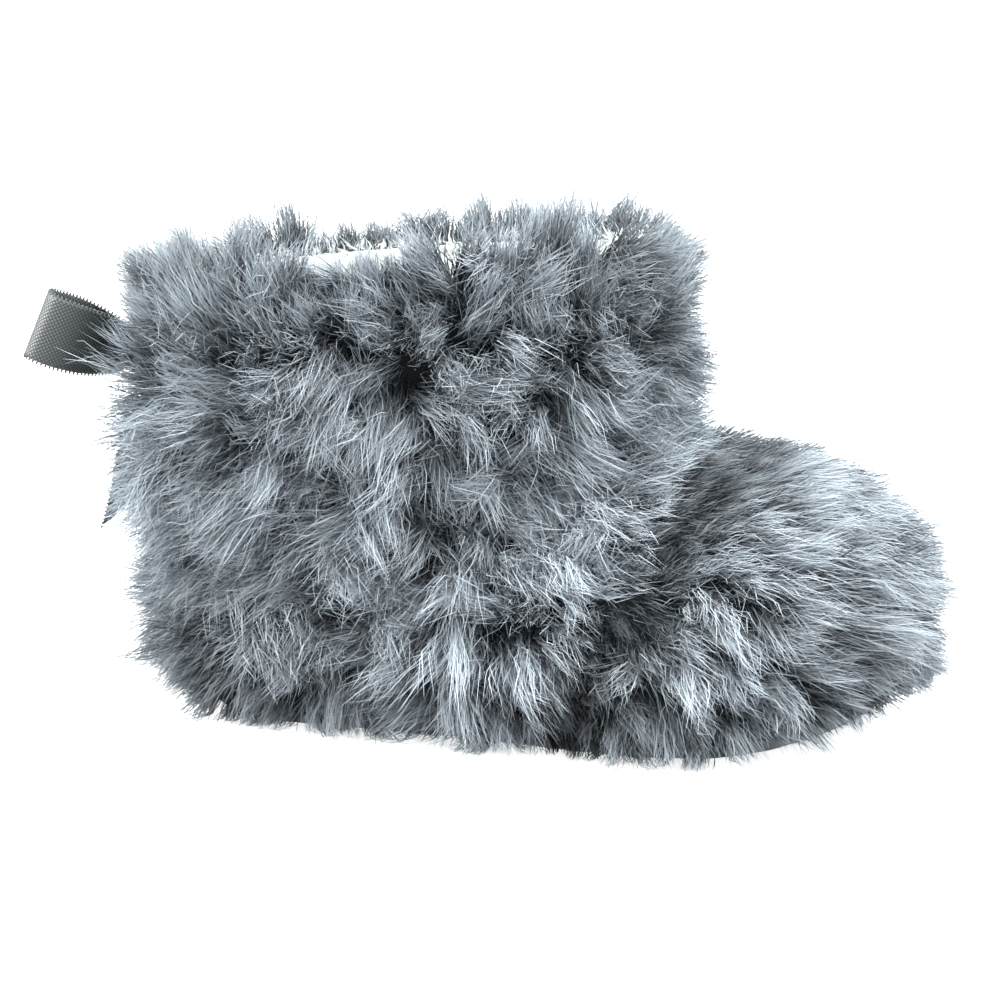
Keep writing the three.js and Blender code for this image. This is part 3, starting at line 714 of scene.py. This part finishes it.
class BOOTIE_OT_fur(bpy.types.Operator):
    """Lays the long pile in locks over the vamp and the shaft"""

    bl_idname = "bootie.fur"
    bl_label = "Lay the fur"

    def execute(self, context):
        settings = context.scene.bootie_fur
        rng = np.random.default_rng(7)
        # The pile was knitted in, sheared and tumbled, so it parts into soft tufts with dark gaps; painted
        # shade at the roots and on the under-pile darkens them further.
        material = faux_fur_material(
            "Modacrylic long pile",
            settings.root_shade_colour,
            settings.middle_colour,
            settings.tip_colour,
            0.85,
        )
        stops, half_widths, tones, reaches, place, short = grown_fur(settings, rng)
        on_vamp = place[:, 0] > crease_at(place[:, 2])
        right = place[:, 1] < 0
        high = place[:, 2] > 38 * MM
        groups = {
            "vamp_fur_right": on_vamp & right,
            "vamp_fur_left": on_vamp & ~right,
            "shaft_fur_right_low": ~on_vamp & right & ~high,
            "shaft_fur_left_low": ~on_vamp & ~right & ~high,
            "shaft_fur_right_high": ~on_vamp & right & high,
            "shaft_fur_left_high": ~on_vamp & ~right & high,
        }
        for name, chosen in groups.items():
            batches = []
            for picked, used in ((chosen & ~short, [0, 1, 2, 3]), (chosen & short, [0, 2, 3])):
                half = half_widths[picked][:, used[:-1]]
                batches.append((stops[picked][:, used], half, tones[picked], reaches[picked]))
            piece = show(name, strand_mesh(name, batches), material)
            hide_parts("fur_vamp" if name.startswith("vamp") else "fur_shaft")
        self.lay_ground(settings)
        return {"FINISHED"}

    def lay_ground(self, settings):
        """The short dense under-pile that closes the gaps between the roots."""
        # The knitted back shows only between the tufts, as a matt ground whose dark colour is painted shade.
        material = napped_material(
            "Modacrylic under-pile painted shade", tuple(settings.ground_shade_colour), 0.5, 0.5, 0.4, 0.0
        )
        steps = [
            ("SUBSURF", {"levels": 1, "render_levels": 1}),
            ("SOLIDIFY", {"thickness": 1.6 * MM, "offset": 1.0}),
        ]
        mesh = finished_mesh(wall("outer"), "under_pile", steps)
        show("under_pile", mesh, material)


# Fleece


class BOOTIE_OT_fleece(bpy.types.Operator):
    """Lines the upper with fleece and lays the padded insole"""

    bl_idname = "bootie.fleece"
    bl_label = "Line with fleece"

    def execute(self, context):
        settings = context.scene.bootie_fleece
        rng = np.random.default_rng(11)
        white = tuple(settings.fleece_colour)
        # The cloth was brushed after knitting, which gives it a dull white bloom with small bumps.
        fleece = napped_material("Polyester fleece", white, 1.3, 0.9, 0.07, 0.3)
        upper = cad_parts["upper"]
        upper.data.materials.clear()
        upper.data.materials.append(fleece)
        inner = wall("inner")
        steps = [
            ("SUBSURF", {"levels": 1, "render_levels": 1}),
            ("SOLIDIFY", {"thickness": settings.lining_depth, "offset": 1.0}),
        ]
        show("lining", finished_mesh(inner, "lining", steps), fleece)
        self.lay_nap(settings, rng)
        self.lay_insole(fleece)
        return {"FINISHED"}

    def lay_nap(self, settings, rng):
        """Soft white fuzz on the lining and round the rim, which shows through the collar."""
        white = tuple(settings.fleece_colour)
        shade = tuple(c * 0.86 for c in white)
        # Brushing pulled these fibres out of the cloth: they blur its edge at the collar.
        material = faux_fur_material("Polyester fleece nap", shade, white, white, 0.9)
        place, facing, area = sown(wall("inner", "rim"), settings.nap_strands * 3, rng)
        kept = place[:, 2] > 48 * MM
        place, facing = place[kept], facing[kept]
        curls, in_curl = spread_centres(place, 1.6 * MM, area * kept.mean(), rng)
        lean = rng.normal(size=curls.shape)[in_curl] * 0.5 + rng.normal(size=place.shape) * 0.3
        reach = settings.nap_length * (0.6 + 0.6 * rng.random(len(place)))
        place = place + facing * settings.lining_depth * 0.6
        stops = np.empty((len(place), 3, 3))
        for k, t in enumerate((0.0, 0.5, 1.0)):
            stops[:, k] = place + (facing * t + lean * t * t) * reach[:, None]
            stops[:, k] += (curls[in_curl] - place + facing * 0.5 * MM) * 0.45 * t
        across = across_of(stops, facing, rng)
        half_widths = across[:, None] * (np.array([1.0, 0.9]) * 0.15 * MM)[:, None]
        tones = 0.6 + 0.05 * rng.normal(size=len(place))
        mesh = strand_mesh("lining_nap", [(stops, half_widths, tones, np.ones(len(place)))])
        show("lining_nap", mesh, material)

    def lay_insole(self, fleece):
        """A crowned fleece pad in the place of the plain insole."""
        source = merged("insole")
        mesh = bpy.data.meshes.new("insole")
        source.to_mesh(mesh)
        source.free()
        steps = [
            ("REMESH", {"mode": "VOXEL", "voxel_size": 1.4 * MM}),
            ("SMOOTH", {"factor": 0.5, "iterations": 6}),
        ]
        made = finished_mesh(mesh, "insole_pad", steps)
        points = np.empty(len(made.vertices) * 3)
        made.vertices.foreach_get("co", points)
        points = points.reshape(-1, 3)
        middle = np.clip(1 - (np.abs(points[:, 1]) / (20 * MM)) ** 2, 0, 1)
        raised = (points[:, 2] > 5 * MM) * middle * 0.7 * MM
        waves = np.sin(points[:, 0] / MM * 0.5) * np.sin(points[:, 1] / MM * 0.6 + 1)
        points[:, 2] += raised + (points[:, 2] > 5 * MM) * waves * 0.12 * MM
        made.vertices.foreach_set("co", points.ravel())
        made.update()
        piece = show("insole_pad", made, fleece)
        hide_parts("insole")


# Ribbon bow

# One loop of the bow: shares of its reach and depth, and of the ribbon's width.
LOOP_PATH = [
    (0.14, 0.2, 0.52),
    (0.34, 0.44, 0.76),
    (0.6, 0.52, 0.94),
    (0.85, 0.42, 1.0),
    (0.97, 0.22, 1.0),
    (1.0, 0.0, 1.0),
    (0.97, -0.22, 1.0),
    (0.85, -0.4, 1.0),
    (0.6, -0.46, 0.94),
    (0.34, -0.36, 0.76),
    (0.14, -0.2, 0.52),
]
LOOP_REACH = 19.8
LOOP_DEPTH = 7
LOOP_ROOT = 1.8

# A tail: shares of its length down, back and aside, its turn in radians and its share of width.
TAIL_PATH = [
    (0.18, 0.02, 0.09, 0.1, 0.4),
    (0.36, 0.04, 0.155, 0.16, 0.66),
    (0.57, 0.07, 0.215, 0.22, 0.98),
    (0.79, 0.1, 0.22, 0.3, 1.0),
    (1.0, 0.15, 0.22, 0.4, 1.0),
]
TAIL_LENGTH = 25


def smooth_rows(rows, count):
    """Rows of numbers resampled on a smooth curve through them."""
    rows = np.asarray(rows, float)
    padded = np.vstack([2 * rows[0] - rows[1], rows, 2 * rows[-1] - rows[-2]])
    made = []
    for s in np.linspace(0, len(rows) - 1, count):
        i = min(int(s), len(rows) - 2)
        t = s - i
        a, b, c, d = padded[i : i + 4]
        made.append(
            0.5 * (2 * b + (c - a) * t + (2 * a - 5 * b + 4 * c - d) * t**2 + (3 * b - a - 3 * c + d) * t**3)
        )
    return np.array(made)


def ribbon_sheet(places, across, widths, pleats, cut):
    """Points of a ribbon, (along, across, 3), with pleats that fade out, and a slanted end."""
    steps = 13
    beside = np.linspace(-0.5, 0.5, steps)
    forward = unit(np.gradient(places, axis=0))
    across = unit(across - forward * (across * forward).sum(axis=1, keepdims=True))
    face = np.cross(forward, across)
    grid = places[:, None] + across[:, None] * (beside[None, :, None] * widths[:, None, None])
    wave = np.cos(beside * 3 * 2 * math.pi) * 0.5
    grid = grid + face[:, None] * (wave[None, :, None] * pleats[:, None, None])
    if cut:
        last = 9
        slide = np.linspace(0, 1, last) ** 1.5
        offset = forward[-last:, None] * ((beside - 0.5)[None, :, None] * cut * slide[:, None, None])
        grid[-last:] += offset
    return grid


def sheet_mesh(name, grid, thickness):
    """A thin closed ribbon from a grid of points, with its map in tens of millimetres."""
    rows, columns = grid.shape[:2]
    along = np.zeros(rows)
    along[1:] = np.cumsum(np.linalg.norm(np.diff(grid[:, columns // 2], axis=0), axis=1))
    faces = []
    for i in range(rows - 1):
        for j in range(columns - 1):
            a = i * columns + j
            faces.append((a, a + 1, a + columns + 1, a + columns))
    mesh = bpy.data.meshes.new(name)
    mesh.from_pydata(grid.reshape(-1, 3).tolist(), [], faces)
    layer = mesh.uv_layers.new(name="OFBake")
    for loop in mesh.loops:
        i, j = divmod(loop.vertex_index, columns)
        layer.data[loop.index].uv = (along[i] / 0.05, j / (columns - 1) * 0.2)
    steps = [
        ("SOLIDIFY", {"thickness": thickness, "offset": 0.0}),
        ("SUBSURF", {"levels": 1, "render_levels": 1}),
    ]
    return finished_mesh(mesh, name, steps)


def bead_tree(name, material):
    """Nodes that lay a bead of thread at each step along lines, turned to their outward way."""
    tree = bpy.data.node_groups.new(name, "GeometryNodeTree")
    tree.interface.new_socket("Geometry", in_out="INPUT", socket_type="NodeSocketGeometry")
    tree.interface.new_socket("Spacing", in_out="INPUT", socket_type="NodeSocketFloat")
    tree.interface.new_socket("Bead", in_out="INPUT", socket_type="NodeSocketVector")
    tree.interface.new_socket("Geometry", in_out="OUTPUT", socket_type="NodeSocketGeometry")
    given = add_node(tree, "NodeGroupInput")
    line = add_node(tree, "GeometryNodeMeshToCurve", {"Mesh": given.outputs["Geometry"]})
    steps = add_node(
        tree,
        "GeometryNodeCurveToPoints",
        {"Curve": line.outputs["Curve"], "Length": given.outputs["Spacing"]},
        mode="LENGTH",
    )
    bead = add_node(tree, "GeometryNodeMeshIcoSphere", {"Radius": 0.5, "Subdivisions": 2})
    outward = add_node(
        tree, "GeometryNodeInputNamedAttribute", {"Name": "outward"}, data_type="FLOAT_VECTOR"
    )
    turn = add_node(
        tree,
        "FunctionNodeAxesToRotation",
        {"Primary Axis": steps.outputs["Tangent"], "Secondary Axis": outward.outputs["Attribute"]},
        primary_axis="X",
        secondary_axis="Y",
    )
    placed = add_node(
        tree,
        "GeometryNodeInstanceOnPoints",
        {
            "Points": steps.outputs["Points"],
            "Instance": bead.outputs["Mesh"],
            "Rotation": turn.outputs["Rotation"],
            "Scale": given.outputs["Bead"],
        },
    )
    real = add_node(tree, "GeometryNodeRealizeInstances", {"Geometry": placed.outputs["Instances"]})
    dressed = add_node(
        tree,
        "GeometryNodeSetMaterial",
        {"Geometry": real.outputs["Geometry"], "Material": material},
    )
    add_node(tree, "NodeGroupOutput", {"Geometry": dressed.outputs["Geometry"]})
    return tree


def line_mesh(name, lines, outward):
    """Lines of points as one mesh, with the outward way at each point."""
    points, links = [], []
    for line in lines:
        first = len(points)
        points.extend(line)
        links.extend((first + i, first + i + 1) for i in range(len(line) - 1))
    mesh = bpy.data.meshes.new(name)
    mesh.from_pydata(points, links, [])
    attribute = mesh.attributes.new("outward", "FLOAT_VECTOR", "POINT")
    attribute.data.foreach_set("vector", np.array(outward, float).ravel())
    return mesh


def edge_lines(grid):
    """The two long edges of a ribbon as a mesh of lines, with the way out of the ribbon."""
    lines = [grid[:, 0].tolist(), grid[:, -1].tolist()]
    outward = np.concatenate([unit(grid[:, 0] - grid[:, 1]), unit(grid[:, -1] - grid[:, -2])])
    return line_mesh("ribbon edges", lines, outward)


def loop_grid(way, settings):
    """The right loop's ribbon, which stands up and back, or the left one's, closer to the shaft."""
    out = np.array([-0.52, -0.78, 0.3] if way > 0 else [-0.4, -0.9, 0.06])
    out /= np.linalg.norm(out)
    across = np.array([-0.3, 0.0, -0.93])
    across -= out * across.dot(out)
    across /= np.linalg.norm(across)
    off = np.cross(out, across)
    rows = smooth_rows(LOOP_PATH, 49)
    places = out * (rows[:, :1] * LOOP_REACH + LOOP_ROOT) + off * rows[:, 1:2] * LOOP_DEPTH
    places = (places + np.array(BOW_SEAT)) * MM
    turn = np.linspace(-1, 1, len(rows))[:, None]
    ways = across + off * 0.1 * turn
    widths = rows[:, 2] * settings.ribbon_width
    pleats = np.clip(1 - (rows[:, 0] - 0.14) / 0.5, 0, 1) ** 1.5 * 1.1 * MM
    places[:, 1] *= way
    ways[:, 1] *= way
    return ribbon_sheet(places, ways, widths, pleats, 0)


def tail_grid(way, settings):
    """A tail's ribbon, with its slanted end."""
    rows = smooth_rows(TAIL_PATH, 33)
    down, back, side, turn, width = rows.T
    places = np.stack([-back, -way * side, -down], axis=1) * TAIL_LENGTH
    places = (places + np.array(BOW_SEAT)) * MM
    ways = np.stack([-np.sin(turn), -way * np.cos(turn), np.zeros(len(rows))], axis=1)
    pleats = np.clip(1 - (down - 0.17) / 0.35, 0, 1) ** 1.5 * 0.8 * MM
    return ribbon_sheet(places, ways, width * settings.ribbon_width, pleats, 7 * MM)


def knot_mesh(settings):
    """The knot: a band of ribbon wrapped round, with soft folds across it."""
    rings, sides = 25, 40
    points, faces = [], []
    for i in range(rings):
        climb = -math.pi / 2 + math.pi * i / (rings - 1)
        for j in range(sides):
            turn = 2 * math.pi * j / sides
            fold = 1 + 0.07 * math.cos(turn * 7 + 2.2 * math.sin(climb)) * math.cos(climb)
            waist = 1 + 0.12 * math.cos(climb * 4)
            round_off = math.cos(climb) ** 0.6 if abs(math.cos(climb)) > 1e-6 else 0.0
            x = 2.4 * round_off * math.cos(turn) * fold * waist
            y = 2.9 * round_off * math.sin(turn) * fold * waist
            z = 3.9 * math.sin(climb) + 0.25 * math.sin(turn * 2)
            points.append((Vector((x, y, z)) + Vector(BOW_SEAT)) * MM)
    for i in range(rings - 1):
        for j in range(sides):
            k = (j + 1) % sides
            faces.append((i * sides + j, i * sides + k, (i + 1) * sides + k, (i + 1) * sides + j))
    mesh = bpy.data.meshes.new("bow_knot_satin")
    mesh.from_pydata(points, [], faces)
    made = bmesh.new()
    made.from_mesh(mesh)
    bmesh.ops.remove_doubles(made, verts=made.verts, dist=0.01 * MM)
    bmesh.ops.recalc_face_normals(made, faces=made.faces)
    layer = made.loops.layers.uv.new("OFBake")
    for face in made.faces:
        for loop in face.loops:
            local = loop.vert.co / MM - Vector(BOW_SEAT)
            around = math.atan2(local.y, local.x) / (2 * math.pi)
            loop[layer].uv = (around * 0.4 + 0.5, local.z / 50 + 0.5)
    made.to_mesh(mesh)
    made.free()
    mesh.shade_smooth()
    return mesh


class BOOTIE_OT_bow(bpy.types.Operator):
    """Ties the satin bow at the back of the ankle"""

    bl_idname = "bootie.bow"
    bl_label = "Tie the bow"

    def execute(self, context):
        settings = context.scene.bootie_ribbon
        # The threads float over the weave and were calendered, so the face shines where it bends; the
        # material adds a painted highlight there and painted shade by the knot.
        satin = satin_material("Polyester satin", tuple(settings.satin_colour))
        grey = tuple(settings.satin_colour)
        # Each picot is a loop of twisted thread left by the loom, duller than the ribbon's face.
        thread = napped_material("Polyester picot thread", grey, 0.3, 0.05, 0.12, 0.2)
        picots = bead_tree("Picots", thread)
        bead = (settings.picot_width, settings.picot_length, settings.picot_width)
        sizes = {"Spacing": settings.picot_spacing, "Bead": bead}
        for side, way in (("right", 1), ("left", -1)):
            for kind, grid in (("loop", loop_grid(way, settings)), ("tail", tail_grid(way, settings))):
                name = f"bow_{kind}_{side}"
                mesh = sheet_mesh(name + "_satin", grid, settings.ribbon_thickness)
                piece = show(name + "_satin", mesh, satin)
                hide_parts(name)
                edging = grown_mesh(edge_lines(grid), name + "_picots", picots, sizes)
                show(name + "_picots", edging, None)
        knot = show("bow_knot_satin", knot_mesh(settings), satin)
        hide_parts("bow_knot")
        return {"FINISHED"}


# Sole


def sole_outline(inset):
    """Points round the sole's underside, drawn in from its edge."""
    sole = merged("outsole")
    stations = {}
    for vert in sole.verts:
        key = round(vert.co.x / MM, 1)
        low, wide = stations.get(key, (1.0, 0.0))
        stations[key] = (min(low, vert.co.z), max(wide, vert.co.y))
    sole.free()
    rows = [(x * MM, wide, low) for x, (low, wide) in sorted(stations.items())]
    rows = smooth_rows(rows, 120)
    shrink = 1 - 2 * inset / (rows[-1][0] - rows[0][0])
    right = [(x * shrink, -max(wide - inset, 0.2 * MM), low + 0.2 * MM) for x, wide, low in rows]
    left = [(x, -y, z) for x, y, z in reversed(right)]
    return right + left


class BOOTIE_OT_sole(bpy.types.Operator):
    """Cuts the suede sole and sews its seam"""

    bl_idname = "bootie.sole"
    bl_label = "Sew the sole"

    def execute(self, context):
        settings = context.scene.bootie_sole
        # The cloth was sanded to a short nap, which reads as dull grey with faint rubbed patches.
        suede = napped_material("Sueded polyester", tuple(settings.suede_colour), 0.35, 0.25, 0.16, 0.35)
        # A twisted sewing thread, a little darker than the sole, so that the seam can be seen.
        thread = napped_material("Polyester thread", tuple(settings.thread_colour), 0.2, 0.05, 0.2, 0.1)
        source = merged("outsole")
        mesh = bpy.data.meshes.new("outsole")
        source.to_mesh(mesh)
        source.free()
        steps = [
            ("REMESH", {"mode": "VOXEL", "voxel_size": 1.0 * MM}),
            ("SMOOTH", {"factor": 0.5, "iterations": 8}),
        ]
        piece = show("sole_suede", finished_mesh(mesh, "sole_suede", steps), suede)
        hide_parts("outsole")
        outline = sole_outline(settings.seam_inset)
        seam = [*outline, outline[0]]
        line = line_mesh("seam", [seam], [(0.0, 0.0, -1.0)] * len(seam))
        bead = (settings.stitch_length, 0.4 * MM, 0.7 * MM)
        sizes = {"Spacing": settings.stitch_spacing, "Bead": bead}
        stitches = grown_mesh(line, "sole_stitches", bead_tree("Stitches", thread), sizes)
        stitches.shade_smooth()
        show("sole_stitches", stitches, None)
        return {"FINISHED"}


# Stage


def area_light(name, place, target, size, power):
    """A soft square light that faces a point."""
    data = bpy.data.lights.new(name, "AREA")
    data.size = size
    data.energy = power
    light = bpy.data.objects.new(name, data)
    bpy.context.scene.collection.objects.link(light)
    light.location = place
    light.rotation_euler = (Vector(target) - Vector(place)).to_track_quat("-Z", "Y").to_euler()
    return light


class BOOTIE_OT_stage(bpy.types.Operator):
    """Sets the floor, the soft studio light and the camera"""

    bl_idname = "bootie.stage"
    bl_label = "Set the stage"

    def execute(self, context):
        settings = context.scene.bootie_stage
        scene = context.scene
        self.lay_floor(tuple(settings.floor_colour))
        target = Vector((-6.4, 0.0, 31.2)) * MM
        turn, climb = settings.camera_azimuth, settings.camera_elevation
        back = Vector(
            (math.sin(turn) * math.cos(climb), -math.cos(turn) * math.cos(climb), math.sin(climb))
        )
        data = bpy.data.cameras.new("Camera")
        camera = bpy.data.objects.new("Camera", data)
        scene.collection.objects.link(camera)
        field = 147 * MM
        data.sensor_width = 36
        data.lens = 36 * settings.camera_distance / field
        data.clip_start = 0.01
        camera.location = target + back * settings.camera_distance
        aim = (-back).to_track_quat("-Z", "Y").to_matrix().to_4x4()
        aim = aim @ Matrix.Rotation(settings.camera_roll, 4, "Z")
        camera.rotation_euler = aim.to_euler()
        scene.camera = camera
        middle = (0.0, 0.0, 35 * MM)
        area_light("Key", (0.55, -0.2, 0.72), middle, 0.4, 19.0)
        area_light("Fill", (-0.7, -0.3, 0.45), middle, 0.35, 14.5)
        area_light("Top", (0.0, 0.1, 0.9), middle, 0.5, 11.0)
        scene.world = self.studio_world()
        scene.view_settings.view_transform = "Standard"
        return {"FINISHED"}

    def studio_world(self):
        """An even room light, which the camera sees as plain white."""
        world = bpy.data.worlds.new("Studio")
        world.use_nodes = True
        tree = world.node_tree
        tree.nodes.clear()
        seen = add_node(tree, "ShaderNodeLightPath")
        strength = add_node(
            tree, "ShaderNodeMapRange", {"Value": seen.outputs["Is Camera Ray"], "To Min": 0.7}
        )
        room = add_node(
            tree,
            "ShaderNodeBackground",
            {"Color": (1.0, 1.0, 1.0, 1.0), "Strength": strength.outputs["Result"]},
        )
        add_node(tree, "ShaderNodeOutputWorld", {"Surface": room.outputs[0]})
        return world

    def lay_floor(self, rgb):
        """A wide white floor, which fills the picture behind the bootie."""
        # Matt paper rolled out in front of the camera, lit until it reads as plain white.
        material, tree, shader = blank_material("White studio paper")
        seen = add_node(tree, "ShaderNodeLightPath")
        glow = add_node(
            tree, "ShaderNodeMapRange", {"Value": seen.outputs["Is Camera Ray"], "To Max": 0.92}
        )
        bounce = add_node(
            tree,
            "ShaderNodeMix",
            {"Factor": seen.outputs["Is Camera Ray"], 6: (0.3, 0.3, 0.3, 1.0), 7: (*rgb, 1.0)},
            data_type="RGBA",
        )
        tree.links.new(bounce.outputs[2], shader.inputs["Base Color"])
        shader.inputs["Roughness"].default_value = 0.9
        shader.inputs["Specular IOR Level"].default_value = 0.1
        shader.inputs["Emission Color"].default_value = (*rgb, 1.0)
        tree.links.new(glow.outputs["Result"], shader.inputs["Emission Strength"])
        made = bmesh.new()
        bmesh.ops.create_circle(made, cap_ends=True, segments=96, radius=6.0)
        mesh = bpy.data.meshes.new("floor")
        made.to_mesh(mesh)
        made.free()
        mesh.materials.append(material)
        floor = bpy.data.objects.new("floor", mesh)
        bpy.context.scene.collection.objects.link(floor)


class BOOTIE_PT_panel(bpy.types.Panel):
    """Lists the bootie's pieces and their sizes"""

    bl_idname = "BOOTIE_PT_panel"
    bl_label = "Bootie"
    bl_space_type = "VIEW_3D"
    bl_region_type = "UI"
    bl_category = "Bootie"

    def draw(self, context):
        for group, operator in STEPS:
            box = self.layout.box()
            settings = getattr(context.scene, group)
            for name in settings.__annotations__:
                box.prop(settings, name)
            box.operator(operator)


SETTINGS = {
    "bootie_fur": FurSettings,
    "bootie_fleece": FleeceSettings,
    "bootie_ribbon": RibbonSettings,
    "bootie_sole": SoleSettings,
    "bootie_stage": StageSettings,
}
STEPS = [
    ("bootie_sole", "bootie.sole"),
    ("bootie_fleece", "bootie.fleece"),
    ("bootie_fur", "bootie.fur"),
    ("bootie_ribbon", "bootie.bow"),
    ("bootie_stage", "bootie.stage"),
]
OPERATORS = [
    BOOTIE_OT_fur,
    BOOTIE_OT_fleece,
    BOOTIE_OT_bow,
    BOOTIE_OT_sole,
    BOOTIE_OT_stage,
    BOOTIE_PT_panel,
]


def register():
    """Registers the settings, the operators and the panel."""
    for made in [*SETTINGS.values(), *OPERATORS]:
        bpy.utils.register_class(made)
    for name, settings in SETTINGS.items():
        setattr(bpy.types.Scene, name, PointerProperty(type=settings))


def unregister():
    """Takes the settings, the operators and the panel away again."""
    for name in SETTINGS:
        delattr(bpy.types.Scene, name)
    for made in reversed([*SETTINGS.values(), *OPERATORS]):
        bpy.utils.unregister_class(made)


def main():
    """Dresses the bootie."""
    register()
    bpy.ops.bootie.sole()
    bpy.ops.bootie.fleece()
    bpy.ops.bootie.fur()
    bpy.ops.bootie.bow()
    bpy.ops.bootie.stage()


if __name__ == "__main__":
    main()
